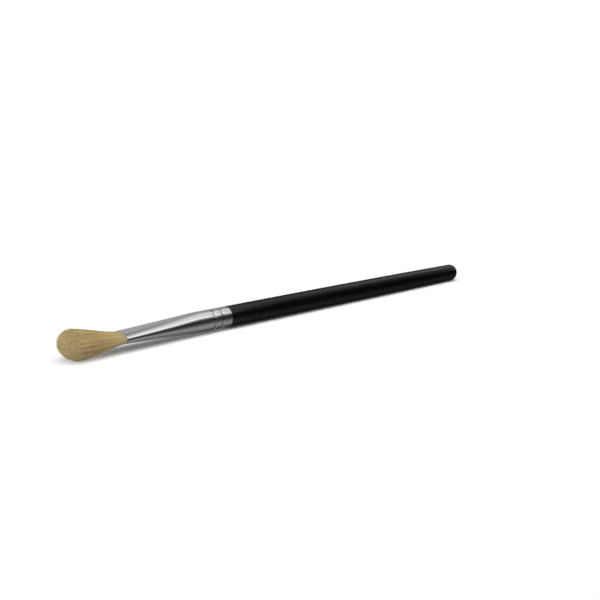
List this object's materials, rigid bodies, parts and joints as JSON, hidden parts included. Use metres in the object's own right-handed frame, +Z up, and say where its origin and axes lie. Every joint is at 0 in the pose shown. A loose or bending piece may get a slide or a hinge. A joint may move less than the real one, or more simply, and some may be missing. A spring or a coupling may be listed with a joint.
{
  "type": "eyeshadow brush",
  "caption": "Eyeshadow brush: domed natural-hair tuft in a flattened, crimped aluminium ferrule on a slim black round wooden handle.",
  "frame": {"origin": "under the middle of the brush's length and width, on the level of the hair's lowest point, which rests on the table", "axes": "+X along the brush's axis towards the handle's end, +Y along the width of the ferrule's flattened mouth, +Z up, through its thickness"},
  "size_m": [0.1795, 0.0112, 0.0099],
  "materials": {
    "black_lacquer": "turned hardwood under glossy black lacquer",
    "aluminium": "drawn tube, lightly polished, with fine lengthwise lines",
    "natural_hair": "cream natural hair, soft and matt with a faint sheen",
    "binding_thread": "undyed thread",
    "resin_glue": "hardened amber resin",
    "joint_glue": "thin hardened glue"
  },
  "bodies": {
    "root": {"handle": "black_lacquer", "ferrule": "aluminium", "hair_tuft": "natural_hair", "root_thread": "binding_thread", "root_glue": "resin_glue", "tenon_glue": "joint_glue"}
  },
  "joints": []
}
